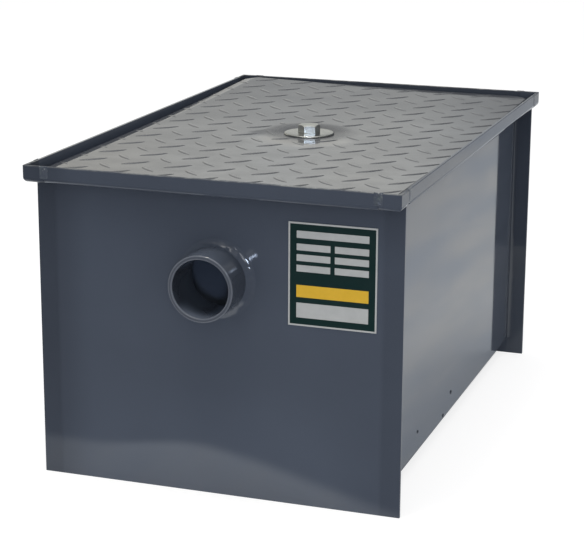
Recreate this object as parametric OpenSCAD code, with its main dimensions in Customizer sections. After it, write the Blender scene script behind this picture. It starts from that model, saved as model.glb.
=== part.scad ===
// Grease trap: a folded steel tank between two end plates, with a spigot at each end,
// a recessed rim and a tread-plate lid held by one bolt in its middle.
// Millimetres. +Z is up, +Y runs from the inlet to the outlet, and the origin is on the
// floor at the middle of the base.

/* [Tank] */
// Width over the outer faces of the side walls
tank_w = 309; // [240:1:420]
// Length over the outer faces of the end plates
body_l = 514; // [400:1:700]
// Height from the floor to the top of the rim
total_h = 297; // [260:1:400]
// Distance that the end plates stand out past the side walls
plate_side = 18; // [8:0.5:20]
// Height of the tank's underside above the floor
foot_h = 14; // [6:1:30]
// Thickness of the folded sheet
sheet = 3; // [2:0.5:4]
// Inside radius of the folds
fold_r = 1.5; // [1:0.25:2.5]

/* [Rim] */
// Distance that the side lips stand out past the side walls
side_ledge = 20.5; // [20:0.5:30]
// Distance that the end lips stand out past the end plates
end_ledge = 22.5; // [20:0.5:30]
// Outside height of the upturned lip
lip_h = 15.5; // [14:0.5:22]

/* [Spigots] */
// Outside diameter of the pipes
pipe_od = 60.3; // [42.2:0.1:73]
// Wall thickness of the pipes
pipe_wall = 3.9; // [2.8:0.1:5.5]
// Depth of the pipes' axis below the top of the rim
pipe_drop = 94; // [70:1:120]
// Length of pipe outside the end plate
pipe_out = 38; // [25:1:60]
// Length of pipe inside the end plate
pipe_in = 5; // [4:1:25]
// Depth to which the welded end of a pipe is dressed down
pipe_dress = 0.5; // [0.4:0.05:0.8]
// Gap between the dressed end of a pipe and the end plate's hole
pipe_gap = 0.15; // [0.05:0.05:0.3]

/* [Welds] */
// Leg of the fillet round each pipe
pipe_weld = 5; // [3:0.5:8]
// Leg of the upright fillets between walls and end plates
wall_weld = 4; // [2:0.5:6]
// Width of the beads over the rim's seams
bead_w = 8; // [4:0.5:12]
// Height of the beads over the rim's seams
bead_h = 0.8; // [0.4:0.1:1.5]

/* [Lid] */
// Gap between the lid's edge and the lips
lid_gap = 7; // [3:0.5:8]
// Thickness of the lid's plate
lid_t = 3.2; // [2.5:0.1:5]
// Length cut off each side at the lid's corners
lid_clip = 12; // [4:1:25]
// Distance between like tread lugs, along and across the lid
lug_pitch = 42.15; // [36:0.05:60]
// Length of a tread lug
lug_l = 28; // [18:0.5:32]
// Width of a tread lug at its middle
lug_w = 6; // [5:0.5:11]
// Height of the tread lugs
lug_h = 0.8; // [0.6:0.1:2]
// Place of the tread pattern across the lid
lug_x = -12.8; // [-21:0.05:21]
// Place of the tread pattern along the lid
lug_y = 4.1; // [-21:0.05:21]
// Width of the smooth dish round the washer
dish_w = 16; // [6:0.5:20]
// Depth of the dish
dish_d = 4; // [1:0.1:5]
// Radial gap between bolt and lid
lid_hole_gap = 0.65; // [0.4:0.05:2]

/* [Gasket] */
// Width of the gasket's strip
gasket_w = 8; // [5:0.5:8]
// Thickness of the gasket
gasket_t = 3; // [2:0.5:4]
// Distance from the lid's edge in to the gasket
gasket_in = 1; // [0:0.5:2]

/* [Hold-down] */
// Diameter of the bolt's shank
bolt_d = 12.7; // [10:0.1:13]
// Length of the bolt under its head
bolt_l = 38.1; // [36:0.1:50]
// Width of the bolt's head across flats
head_af = 19.05; // [16:0.05:22]
// Height of the bolt's head
head_h = 7.9; // [6:0.1:10]
// Diameter of the zinc washer
washer_d = 50; // [40:1:58]
// Thickness of the zinc washer
washer_t = 1.6; // [1.5:0.1:3]
// Radial gap between bolt and washer
washer_gap = 0.5; // [0.3:0.1:1]
// Distance from the washer's edge in to the rubber seal
seal_in = 3; // [1:0.5:8]
// Thickness of the rubber seal
seal_t = 1; // [0.6:0.1:3]
// Radial gap between bolt and seal
seal_gap = 0.05; // [0.03:0.01:0.1]
// Width of the cross-bar
bar_w = 40; // [30:1:60]
// Thickness of the cross-bar
bar_t = 6; // [4:0.5:8]
// Gap between the lid and the cross-bar under it
bar_drop = 12; // [6:1:14]
// Radial gap between bolt and cross-bar
bar_gap = 0.8; // [0.4:0.1:2]
// Width of the nut across flats
nut_af = 19.05; // [17:0.05:24]
// Height of the nut
nut_h = 11; // [8:0.5:14]
// Radial gap between bolt and nut, for the thread that is left out
nut_gap = 0.15; // [0.1:0.05:0.3]

/* [Baffles] */
// Thickness of the baffle sheets
baffle_t = 2; // [1.5:0.5:3]
// Gap between the lid and the tops of the baffles
baffle_drop = 34.5; // [25:0.5:60]
// Depth of the grip folded at the top of each baffle
grip_d = 15; // [8:1:22]
// Distance from each end plate to the baffle next to it
end_chamber = 84; // [60:1:120]
// Distance from the cross-bar back to the centre baffle
centre_back = 38; // [20:1:70]
// Gap between a baffle and the side walls
baffle_side = 2; // [1.6:0.1:4]
// Gap between a baffle and each of its rails
baffle_gap = 0.5; // [0.3:0.1:1]
// Width of sheet on each side of the inlet baffle's window
window_side = 69.5; // [30:0.5:90]
// Height of the window in the inlet baffle
window_h = 45; // [20:1:60]
// Height of the window's lower edge above the tank's floor
window_z = 60; // [20:1:90]
// Width of the legs beside the gates under the centre and outlet baffles
gate_leg = 29.5; // [18:0.5:60]
// Height of the gate under the centre baffle
centre_gate_h = 50; // [20:1:80]
// Height of the gate under the outlet baffle
outlet_gate_h = 40; // [20:1:80]
// Distance that the rails stand in from the walls
rail_w = 12; // [8:1:16]
// Thickness of the rails
rail_t = 3; // [2:0.5:5]
// Distance from the baffles' tops down to the rails
rail_drop = 20; // [15:1:60]
// Height of the rails' lower ends above the tank's floor
rail_lift = 6; // [4:1:12]

/* [Rating plate] */
// Width of the rating plate
label_w = 80.5; // [50:0.5:90]
// Height of the rating plate
label_h = 93; // [60:1:100]
// Thickness of the rating plate
label_t = 0.6; // [0.3:0.1:1]
// Distance from the front plate's right edge in to the rating plate
label_side = 24; // [10:0.5:40]
// Distance from the ledge down to the rating plate
label_drop = 20.5; // [8:0.5:60]

/* [Hidden] */
$fn = 96;
// Straight pieces in each side of a lug's outline
lug_steps = 4;
// Depth to which the lugs reach into the plate that they are rolled from
lug_root = 0.4;
// Extra length by which a cutting shape passes the face that it opens
past = 1;

tank_x = tank_w / 2;
wall_x = tank_x - sheet;
plate_x = tank_x + plate_side;
end_y = body_l / 2;
wall_y = end_y - sheet;
lip_x = tank_x + side_ledge;
lip_y = end_y + end_ledge;
fold_out = fold_r + sheet;
floor_z = foot_h + sheet;
ledge_z = total_h - lip_h;
seat_z = ledge_z + sheet;

pipe_r = pipe_od / 2;
bore_r = pipe_r - pipe_wall;
tail_r = pipe_r - pipe_dress;
pipe_z = total_h - pipe_drop;

lid_x = lip_x - sheet - lid_gap;
lid_y = lip_y - sheet - lid_gap;
lid_z = seat_z + gasket_t;
lid_top = lid_z + lid_t;
washer_r = washer_d / 2;
dish_r = washer_r + dish_w;
seal_z = lid_top - dish_d;
washer_z = seal_z + seal_t;
head_z = washer_z + washer_t;
bolt_r = bolt_d / 2;

bar_z = lid_z - bar_drop - bar_t;
nut_z = bar_z - nut_h;

baffle_x = wall_x - baffle_side;
baffle_h = lid_z - baffle_drop - floor_z;
inlet_y = end_chamber - wall_y;
centre_y = bar_w / 2 + centre_back;
outlet_y = wall_y - end_chamber;
rail_y = baffle_t / 2 + baffle_gap;
rail_z = floor_z + rail_lift;
rail_h = baffle_h - rail_drop - rail_lift;

ENAMEL = [0.24, 0.27, 0.32];
ZINC = [0.78, 0.79, 0.80];
RUBBER = [0.06, 0.06, 0.06];
LABEL = [0.05, 0.16, 0.15];

// Section of a fold: a quarter ring round its centre, in one of the four quadrants
module fold(quadrant) {
    rotate(90 * quadrant)
        intersection() {
            difference() {
                circle(r = fold_out);
                circle(r = fold_r);
            }
            square(fold_out);
        }
}

// Section of the ledge and lip, out from the top of a wall whose outer face is at zero
module flange(reach) {
    translate([-sheet, ledge_z - fold_r - past])
        square([sheet, past]);
    translate([fold_r, ledge_z - fold_r])
        fold(1);
    translate([fold_r, ledge_z])
        square([reach - fold_out - fold_r, sheet]);
    translate([reach - fold_out, seat_z + fold_r])
        fold(3);
    translate([reach - sheet, seat_z + fold_r])
        square([sheet, total_h - seat_z - fold_r]);
}

// Section of one half of the tank: half the floor, a side wall, its ledge and lip
module half_tank() {
    translate([0, foot_h])
        square([tank_x - fold_out, sheet]);
    translate([tank_x - fold_out, foot_h + fold_out])
        fold(3);
    translate([wall_x, foot_h + fold_out])
        square([sheet, ledge_z - fold_r - foot_h - fold_out]);
    translate([tank_x, 0])
        flange(lip_x - tank_x);
}

module tank_shell() {
    color(ENAMEL)
        rotate([90, 0, 0])
            linear_extrude(height = 2 * wall_y, center = true) {
                half_tank();
                mirror([1, 0])
                    half_tank();
            }
}

// An end plate, side +1 at the outlet: a foot plate with its top folded out between the corners
module end_plate(side) {
    color(ENAMEL)
        mirror([0, side < 0 ? 1 : 0, 0])
            difference() {
                union() {
                    translate([-plate_x, wall_y, 0])
                        cube([2 * plate_x, sheet, ledge_z - fold_r]);
                    for (x = [-plate_x, tank_x])
                        translate([x, wall_y, 0])
                            cube([plate_side, sheet, ledge_z]);
                    rotate([90, 0, 90])
                        linear_extrude(height = tank_w, center = true)
                            translate([end_y, 0])
                                flange(lip_y - end_y);
                }
                translate([0, wall_y - past, pipe_z])
                    rotate([-90, 0, 0])
                        cylinder(r = tail_r + pipe_gap, h = sheet + 2 * past);
            }
}

// Upright rectangle with rounded lower corners, half as wide as x, from z to top
module tray_section(x, z, r, top) {
    translate([-x, z + r])
        square([2 * x, top - z - r]);
    translate([r - x, z])
        square([2 * (x - r), r]);
    for (s = [-1, 1])
        translate([s * (x - r), z + r])
            circle(r = r);
}

// Solid tray with rounded lower edges, out to x and y on both sides
module tray(x, y, z, r, top) {
    intersection() {
        rotate([90, 0, 0])
            linear_extrude(height = 2 * y, center = true)
                tray_section(x, z, r, top);
        rotate([90, 0, 90])
            linear_extrude(height = 2 * x, center = true)
                tray_section(y, z, r, top);
    }
}

// The piece that closes the rim at one corner: its share of ledge with a lip on two sides
module rim_corner(side_x, side_y) {
    color(ENAMEL)
        intersection() {
            difference() {
                tray(lip_x, lip_y, ledge_z, fold_out, total_h);
                tray(lip_x - sheet, lip_y - sheet, seat_z, fold_r, total_h + past);
            }
            mirror([side_x < 0 ? 1 : 0, 0, 0])
                mirror([0, side_y < 0 ? 1 : 0, 0])
                    translate([tank_x, wall_y, ledge_z - past])
                        cube([lip_x + past - tank_x, lip_y + past - wall_y, lip_h + 2 * past]);
        }
}

// Flat bead that stands on a face along Z, its back at zero and its crown towards +Y
module seam_bead() {
    r = (bead_w * bead_w / 4 + bead_h * bead_h) / (2 * bead_h);
    translate([0, 0, ledge_z + fold_out])
        linear_extrude(height = lip_h - fold_out)
            intersection() {
                translate([0, bead_h - r])
                    circle(r = r);
                translate([-bead_w / 2, 0])
                    square([bead_w, bead_h]);
            }
}

module rim_seam_welds() {
    color(ENAMEL)
        for (sx = [0, 1], sy = [0, 1])
            mirror([sx, 0, 0])
                mirror([0, sy, 0]) {
                    translate([tank_x, lip_y, 0])
                        seam_bead();
                    translate([lip_x, wall_y, 0])
                        rotate(-90)
                            seam_bead();
                }
}

module wall_seam_welds() {
    bottom = foot_h + fold_out;
    color(ENAMEL)
        for (sx = [0, 1], sy = [0, 1])
            mirror([sx, 0, 0])
                mirror([0, sy, 0])
                    translate([tank_x, wall_y, bottom])
                        linear_extrude(height = ledge_z - fold_r - bottom)
                            intersection() {
                                circle(r = wall_weld);
                                translate([0, -wall_weld])
                                    square(wall_weld);
                            }
}

// A spigot along Y through an end plate, side +1 at the outlet
module pipe(side) {
    length = pipe_out + sheet + pipe_in;
    color(ENAMEL)
        translate([0, side * (end_y + pipe_out), pipe_z])
            rotate([side * 90, 0, 0])
                difference() {
                    union() {
                        cylinder(r = pipe_r, h = pipe_out - pipe_weld);
                        cylinder(r = tail_r, h = length);
                    }
                    translate([0, 0, -past])
                        cylinder(r = bore_r, h = length + 2 * past);
                }
}

// The fillet between a spigot and the outside of its end plate
module pipe_fillet(side) {
    color(ENAMEL)
        translate([0, side * end_y, pipe_z])
            rotate([-side * 90, 0, 0])
                rotate_extrude()
                    polygon([
                        [tail_r, 0], [pipe_r + pipe_weld, 0],
                        [pipe_r, pipe_weld], [tail_r, pipe_weld]
                    ]);
}

module lid_outline() {
    polygon([
        [lid_clip - lid_x, -lid_y], [lid_x - lid_clip, -lid_y],
        [lid_x, lid_clip - lid_y], [lid_x, lid_y - lid_clip],
        [lid_x - lid_clip, lid_y], [lid_clip - lid_x, lid_y],
        [-lid_x, lid_y - lid_clip], [-lid_x, lid_clip - lid_y]
    ]);
}

// Outline of one lug along X: two arcs that meet in its tips
module lug_outline() {
    r = (lug_l * lug_l + lug_w * lug_w) / (4 * lug_w);
    half = asin(lug_l / (2 * r));
    arc = [for (i = [0 : lug_steps - 1]) half * (1 - 2 * i / lug_steps)];
    polygon(concat(
        [for (a = arc) [r * sin(a), r * cos(a) - r + lug_w / 2]],
        [for (a = arc) [-r * sin(a), r - lug_w / 2 - r * cos(a)]]
    ));
}

// All lugs: two square grids, half a pitch apart both ways, with lugs at right angles
module lug_field() {
    nx = ceil((lid_x + abs(lug_x)) / lug_pitch) + 1;
    ny = ceil((lid_y + abs(lug_y)) / lug_pitch) + 1;
    for (i = [-nx : nx], j = [-ny : ny], turned = [0, 1]) {
        x = lug_x + (i + turned / 2) * lug_pitch;
        y = lug_y + (j + turned / 2) * lug_pitch;
        near_x = lid_x + lug_l / 2;
        near_y = lid_y + lug_l / 2;
        if (abs(x) < near_x && abs(y) < near_y)
            translate([x, y])
                rotate(turned == 0 ? 45 : -45)
                    lug_outline();
    }
}

// Tread plate, pressed down round the bolt so that the washer lies in a dish
module lid() {
    color(ENAMEL)
        difference() {
            union() {
                translate([0, 0, lid_z])
                    linear_extrude(height = lid_t)
                        lid_outline();
                translate([0, 0, lid_z - dish_d])
                    cylinder(r1 = washer_r, r2 = dish_r + dish_w * lug_root / dish_d, h = dish_d + lug_root);
                translate([0, 0, lid_top - lug_root])
                    linear_extrude(height = lug_root + lug_h)
                        difference() {
                            intersection() {
                                lid_outline();
                                lug_field();
                            }
                            circle(r = dish_r);
                        }
            }
            translate([0, 0, seal_z])
                cylinder(r1 = washer_r, r2 = dish_r, h = dish_d);
            translate([0, 0, lid_z - dish_d - past])
                cylinder(r = bolt_r + lid_hole_gap, h = lid_t + 2 * past);
        }
}

module lid_gasket() {
    outer_x = lid_x - gasket_in;
    outer_y = lid_y - gasket_in;
    color(RUBBER)
        difference() {
            translate([-outer_x, -outer_y, seat_z])
                cube([2 * outer_x, 2 * outer_y, gasket_t]);
            translate([gasket_w - outer_x, gasket_w - outer_y, seat_z - past])
                cube([2 * (outer_x - gasket_w), 2 * (outer_y - gasket_w), gasket_t + 2 * past]);
        }
}

// Upright hexagon with the given width across flats
module hex(af, h) {
    cylinder(d = af / cos(30), h = h, $fn = 6);
}

module lid_bolt() {
    color(ZINC) {
        translate([0, 0, head_z])
            hex(head_af, head_h);
        translate([0, 0, head_z - bolt_l])
            cylinder(r = bolt_r, h = bolt_l);
    }
}

// Flat ring at height z
module ring(outer_r, inner_r, z, t) {
    translate([0, 0, z])
        difference() {
            cylinder(r = outer_r, h = t);
            translate([0, 0, -past])
                cylinder(r = inner_r, h = t + 2 * past);
        }
}

module lid_washer() {
    color(ZINC)
        ring(washer_r, bolt_r + washer_gap, washer_z, washer_t);
}

module bolt_seal() {
    color(RUBBER)
        ring(washer_r - seal_in, bolt_r + seal_gap, seal_z, seal_t);
}

module hold_down_bar() {
    color(ENAMEL)
        difference() {
            translate([-wall_x, -bar_w / 2, bar_z])
                cube([2 * wall_x, bar_w, bar_t]);
            translate([0, 0, bar_z - past])
                cylinder(r = bolt_r + bar_gap, h = bar_t + 2 * past);
        }
}

module hold_down_nut() {
    color(ZINC)
        translate([0, 0, nut_z])
            difference() {
                hex(nut_af, nut_h);
                translate([0, 0, -past])
                    cylinder(r = bolt_r + nut_gap, h = nut_h + 2 * past);
            }
}

// A baffle sheet that stands on the tank's floor, its top folded over as a grip
module baffle(y) {
    color(ENAMEL)
        translate([0, y, floor_z])
            difference() {
                union() {
                    translate([-baffle_x, -baffle_t / 2, 0])
                        cube([2 * baffle_x, baffle_t, baffle_h]);
                    translate([-baffle_x, -baffle_t / 2, baffle_h - baffle_t])
                        cube([2 * baffle_x, grip_d, baffle_t]);
                }
                children();
            }
}

// A rectangular way through a baffle, with sheet left beside it, z above the tank's floor
module waterway(beside, z, h) {
    x = baffle_x - beside;
    translate([-x, -baffle_t, z])
        cube([2 * x, 2 * baffle_t, h]);
}

module inlet_baffle() {
    baffle(inlet_y)
        waterway(window_side, window_z, window_h);
}

module centre_baffle() {
    baffle(centre_y)
        waterway(gate_leg, -past, centre_gate_h + past);
}

module outlet_baffle() {
    baffle(outlet_y)
        waterway(gate_leg, -past, outlet_gate_h + past);
}

// The two strips on one side wall that a baffle at y slides between
module rails(y, side) {
    color(ENAMEL)
        mirror([side < 0 ? 1 : 0, 0, 0])
            for (edge = [y - rail_y - rail_t, y + rail_y])
                translate([wall_x - rail_w, edge, rail_z])
                    cube([rail_w, rail_t, rail_h]);
}

module rating_plate() {
    color(LABEL)
        translate([plate_x - label_side - label_w, -end_y - label_t, ledge_z - label_drop - label_h])
            cube([label_w, label_t, label_h]);
}

tank_shell();
end_plate(-1);  // front_end_plate
end_plate(1);  // rear_end_plate
rim_corner(-1, -1);  // corner_front_left
rim_corner(1, -1);  // corner_front_right
rim_corner(-1, 1);  // corner_rear_left
rim_corner(1, 1);  // corner_rear_right
rim_seam_welds();
wall_seam_welds();
pipe(-1);  // inlet_pipe
pipe(1);  // outlet_pipe
pipe_fillet(-1);  // inlet_weld
pipe_fillet(1);  // outlet_weld
lid();
lid_gasket();
lid_bolt();
lid_washer();
bolt_seal();
hold_down_bar();
hold_down_nut();
inlet_baffle();
centre_baffle();
outlet_baffle();
rails(inlet_y, -1);  // inlet_rails_left
rails(inlet_y, 1);  // inlet_rails_right
rails(centre_y, -1);  // centre_rails_left
rails(centre_y, 1);  // centre_rails_right
rails(outlet_y, -1);  // outlet_rails_left
rails(outlet_y, 1);  // outlet_rails_right
rating_plate();
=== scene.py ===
"""Looks of the grease trap: fine meshes and enamel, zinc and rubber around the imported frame."""

import math

import bmesh
import bpy
from mathutils import Matrix, Vector, noise
from mathutils.geometry import delaunay_2d_cdt


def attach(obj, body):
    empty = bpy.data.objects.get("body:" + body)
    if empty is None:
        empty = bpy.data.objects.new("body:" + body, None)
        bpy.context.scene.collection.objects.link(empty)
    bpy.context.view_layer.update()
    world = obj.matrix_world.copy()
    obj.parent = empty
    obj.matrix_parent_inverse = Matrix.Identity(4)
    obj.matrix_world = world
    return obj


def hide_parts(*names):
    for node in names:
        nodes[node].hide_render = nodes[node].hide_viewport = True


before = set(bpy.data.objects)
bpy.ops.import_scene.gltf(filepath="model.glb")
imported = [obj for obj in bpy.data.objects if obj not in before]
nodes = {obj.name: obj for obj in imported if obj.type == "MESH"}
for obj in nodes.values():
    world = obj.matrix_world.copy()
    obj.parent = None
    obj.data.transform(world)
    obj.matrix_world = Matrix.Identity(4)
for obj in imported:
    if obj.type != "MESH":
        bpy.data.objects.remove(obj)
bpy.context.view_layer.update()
scene = bpy.context.scene

MM = 0.001

# Sizes that repeat the part's source, in millimetres
SHEET = 3.0
TANK_X = 154.5
END_Y = 257.0
TOTAL_H = 297.0
FLOOR_Z = 14.0
SIDE_LEDGE = 20.5
END_LEDGE = 22.5
LIP_H = 15.5
PIPE_R = 30.15
PIPE_WALL = 3.9
PIPE_DROP = 94.0
PIPE_OUT = 38.0
PIPE_IN = 5.0
PIPE_DRESS = 0.5
PIPE_WELD = 5.0
WALL_WELD = 4.0
LID_GAP = 7.0
LID_T = 3.2
LID_CLIP = 12.0
LID_HOLE_GAP = 0.65
LUG_PITCH = 42.15
LUG_L = 28.0
LUG_W = 6.0
LUG_H = 0.8
LUG_AT = (-12.8, 4.1)
DISH_W = 16.0
DISH_D = 4.0
GASKET_W = 8.0
GASKET_T = 3.0
GASKET_IN = 1.0
BOLT_R = 6.35
BOLT_L = 38.1
THREAD_PITCH = 1.954
HEAD_AF = 19.05
HEAD_H = 7.9
WASHER_R = 25.0
WASHER_T = 1.6
WASHER_GAP = 0.5
SEAL_IN = 3.0
SEAL_T = 1.0
SEAL_GAP = 0.05
BAR_T = 6.0
BAR_DROP = 12.0
NUT_AF = 19.05
NUT_H = 11.0
NUT_GAP = 0.15
LABEL_X = (68.0, 148.5)
LABEL_Z = (168.0, 261.0)
LABEL_T = 0.6

# Places that follow from them
WALL_Y = END_Y - SHEET
LIP_X = TANK_X + SIDE_LEDGE
LIP_Y = END_Y + END_LEDGE
LEDGE_Z = TOTAL_H - LIP_H
PIPE_Z = TOTAL_H - PIPE_DROP
TAIL_R = PIPE_R - PIPE_DRESS
BORE_R = PIPE_R - PIPE_WALL
PIPE_TAIL = SHEET + PIPE_IN
LID_X = LIP_X - SHEET - LID_GAP
LID_Y = LIP_Y - SHEET - LID_GAP
GASKET_X = LID_X - GASKET_IN
GASKET_Y = LID_Y - GASKET_IN
GASKET_Z = LEDGE_Z + SHEET
LID_Z = GASKET_Z + GASKET_T
LID_TOP = LID_Z + LID_T
LID_HOLE_R = BOLT_R + LID_HOLE_GAP
DISH_R = WASHER_R + DISH_W
SEAL_R = WASHER_R - SEAL_IN
SEAL_Z = LID_TOP - DISH_D
SEAL_HOLE_R = BOLT_R + SEAL_GAP
WASHER_Z = SEAL_Z + SEAL_T
WASHER_HOLE_R = BOLT_R + WASHER_GAP
HEAD_Z = WASHER_Z + WASHER_T
NUT_Z = LID_Z - BAR_DROP - BAR_T - NUT_H
NUT_HOLE_R = BOLT_R + NUT_GAP

# Sockets of a mix node in its colour mode: factor and two colours, and the result
MIX_INPUTS = (0, 6, 7)
MIX_RESULT = 2


# Shader nodes
def feed(tree, socket, value):
    """Links an output to a socket, or sets the socket to a constant."""
    if isinstance(value, bpy.types.NodeSocket):
        tree.links.new(value, socket)
    else:
        socket.default_value = value


def add_node(tree, kind, inputs=None, **settings):
    """A node with its settings made and its inputs set or linked."""
    made = tree.nodes.new(kind)
    for key, value in settings.items():
        setattr(made, key, value)
    for key, value in (inputs or {}).items():
        feed(tree, made.inputs[key], value)
    return made


def math_node(tree, operation, *values):
    """The result of one math operation."""
    return add_node(tree, "ShaderNodeMath", dict(enumerate(values)), operation=operation).outputs[0]


def product(tree, *values):
    """All the values multiplied."""
    made = values[0]
    for value in values[1:]:
        made = math_node(tree, "MULTIPLY", made, value)
    return made


def ramp(tree, value, low, high, to_low=0.0, to_high=1.0):
    """Smooth step of a value between two limits."""
    return add_node(
        tree,
        "ShaderNodeMapRange",
        {"Value": value, "From Min": low, "From Max": high, "To Min": to_low, "To Max": to_high},
        interpolation_type="SMOOTHSTEP",
    ).outputs["Result"]


def mix_colour(tree, factor, a, b, blend="MIX"):
    """Two colours mixed by a factor."""
    inputs = dict(zip(MIX_INPUTS, (factor, a, b)))
    return add_node(tree, "ShaderNodeMix", inputs, data_type="RGBA", blend_type=blend).outputs[MIX_RESULT]


def scaled(tree, colour, by):
    """A colour times another."""
    return mix_colour(tree, 1.0, colour, by, "MULTIPLY")


def axes_of(tree, place):
    """The X, Y and Z of a place."""
    return add_node(tree, "ShaderNodeSeparateXYZ", {"Vector": place}).outputs


def noise_at(tree, place, scale, detail=2.0, rough=0.5, stretch=None):
    """Noise over a place, stretched along axes where asked."""
    if stretch:
        place = add_node(
            tree, "ShaderNodeVectorMath", {0: place, 1: stretch}, operation="MULTIPLY"
        ).outputs[0]
    return add_node(
        tree,
        "ShaderNodeTexNoise",
        {"Vector": place, "Scale": scale, "Detail": detail, "Roughness": rough},
    ).outputs["Fac"]


def bump(tree, height, distance, under=None):
    """The normal of a bumpy surface, laid over another where asked."""
    inputs = {"Height": height, "Distance": distance, "Strength": 1.0}
    if under:
        inputs["Normal"] = under
    return add_node(tree, "ShaderNodeBump", inputs).outputs["Normal"]


def new_material(name):
    """A material with a plain Principled shader, and the piece's own coordinates."""
    material = bpy.data.materials.new(name)
    material.use_nodes = True
    tree = material.node_tree
    shader = tree.nodes["Principled BSDF"]
    place = tree.nodes.new("ShaderNodeTexCoord").outputs["Object"]
    return material, tree, shader, place


def set_surface(tree, shader, colour, gloss, shape):
    """Links what varies over a surface to its shader."""
    feed(tree, shader.inputs["Base Color"], colour)
    feed(tree, shader.inputs["Roughness"], gloss)
    feed(tree, shader.inputs["Normal"], shape)


def grey(level):
    """A neutral colour."""
    return (level, level, level, 1.0)


def grey_blue(level, hue):
    """The enamel's colour at a level. A hue of zero is plain grey."""
    return (level * (1 - 0.23 * hue), level * (1 - 0.08 * hue), level * (1 + 0.21 * hue), 1.0)


def zinc_grey(level):
    """Zinc's grey, a little green."""
    return (level * 0.98, level, level * 0.96, 1.0)


# Painted light and shade by place, in metres
def plate_painted_shading(tree, axes):
    """End plate: painted shade past the walls, to the left, under the lip and at the rear; painted light
    near the floor.
    """
    side = math_node(tree, "ABSOLUTE", axes["X"])
    # Painted light low on the plate, weaker towards its right end
    foot = product(
        tree, ramp(tree, axes["Z"], 0.020, 0.130, 0.18, 0.0), ramp(tree, axes["X"], 0.09, 0.16, 1.0, 0.30)
    )
    return product(
        tree,
        ramp(tree, side, (TANK_X - 3) * MM, (TANK_X + 2) * MM, 1.0, 0.86),
        ramp(tree, axes["X"], -0.158, -0.118, 0.78, 1.0),
        ramp(tree, axes["Z"], 0.225, 0.280, 1.0, 0.86),
        math_node(tree, "ADD", foot, 1.0),
        ramp(tree, axes["Y"], -0.1, 0.1, 1.0, 0.80),
    )


def corner_painted_shade(tree, axes):
    """Corner pieces of the rim: painted shade, darker on the left."""
    return ramp(tree, axes["X"], -0.12, 0.12, 0.62, 0.88)


def barrel_painted_shading(tree, axes):
    """Outside of a spigot: painted light on top, painted shade round the right side."""
    return product(
        tree, ramp(tree, axes["X"], 0.002, 0.027, 1.0, 0.62), ramp(tree, axes["Z"], 0.208, 0.231, 1.0, 1.35)
    )


def bore_painted_shading(tree, axes):
    """Inside of a spigot: painted shade at its mouth, and painted light along the bottom there."""
    out = math_node(tree, "ABSOLUTE", axes["Y"])
    # Painted light along the bottom near the mouth
    dust = product(tree, ramp(tree, axes["Z"], 0.177, 0.189, 2.4, 0.0), ramp(tree, out, 0.270, 0.291))
    return product(tree, ramp(tree, out, 0.256, 0.288, 1.1, 0.55), math_node(tree, "ADD", dust, 1.0))


# Enamel
ENAMEL_IOR = 1.6
WAVE_H = 0.00025
PEEL_H = 0.000002
SMOOTH_PEEL_H = 0.00000005
RIDGE_H = 0.00012
RIDGE_W = 2.6
# Pale grey of wear and painted glints along the rim's top edge
RUBBED_GLINT_GREY = (0.20, 0.21, 0.21, 1)
SCUFF_GREY = (0.105, 0.130, 0.130, 1)
# Pale grey of the specks near the rim's top, part wear and part painted glints
SPECK_GLINT_GREY = (0.34, 0.35, 0.33, 1)


def below_top(drop):
    """Height in metres of a place that is a number of millimetres below the top of the rim."""
    return (TOTAL_H - drop) * MM


def enamel_colour(tree, place, level, hue):
    """Blue-grey with soft clouds and a fine grain."""
    cloud = noise_at(tree, place, 11.0, 3.0)
    colour = mix_colour(tree, cloud, grey_blue(level * 0.90, hue), grey_blue(level * 1.10, hue))
    grain = noise_at(tree, place, 1400.0, 2.0, 0.6)
    return scaled(tree, colour, mix_colour(tree, grain, grey(0.93), grey(1.06)))


def streaked(tree, place, colour, depth):
    """A colour shaded in long streaks along Y."""
    drawn = noise_at(tree, place, 1.0, 3.0, 0.55, (5.0, 3.0, 42.0))
    return scaled(tree, colour, mix_colour(tree, drawn, grey(1.0 - depth), grey(1.0 + depth)))


def add_painted_shading(tree, axes, colour, painted_shading):
    """A colour scaled by place: painted light and shade."""
    shade = painted_shading(tree, axes)
    by = add_node(tree, "ShaderNodeCombineXYZ", {"X": shade, "Y": shade, "Z": shade}).outputs[0]
    return scaled(tree, colour, by)


def rubbed_top_and_glints(tree, place, axes, colour):
    """Pale patches along the top edge of the rim: part wear, part painted glints."""
    patchy = ramp(tree, noise_at(tree, place, 70.0, 3.0, 0.55), 0.42, 0.68)
    high = ramp(tree, axes["Z"], below_top(1.0), below_top(0.2))
    return mix_colour(tree, product(tree, high, patchy), colour, RUBBED_GLINT_GREY)


def scuffs_and_glints(tree, place, axes, colour, amount):
    """Scuffs all over, and pale specks towards the top of the rim that are part wear, part painted glints.
    """
    patch = noise_at(tree, place, 190.0, 3.0, 0.6)
    colour = mix_colour(tree, ramp(tree, patch, 0.45, 0.70, 0.0, amount), colour, SCUFF_GREY)
    # Pale specks near the top of the rim: part wear, part painted glints
    speck = ramp(tree, noise_at(tree, place, 700.0, 2.0), 0.58, 0.66)
    high = ramp(tree, axes["Z"], below_top(5.5), below_top(0.5))
    return mix_colour(tree, product(tree, speck, high), colour, SPECK_GLINT_GREY)


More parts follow.
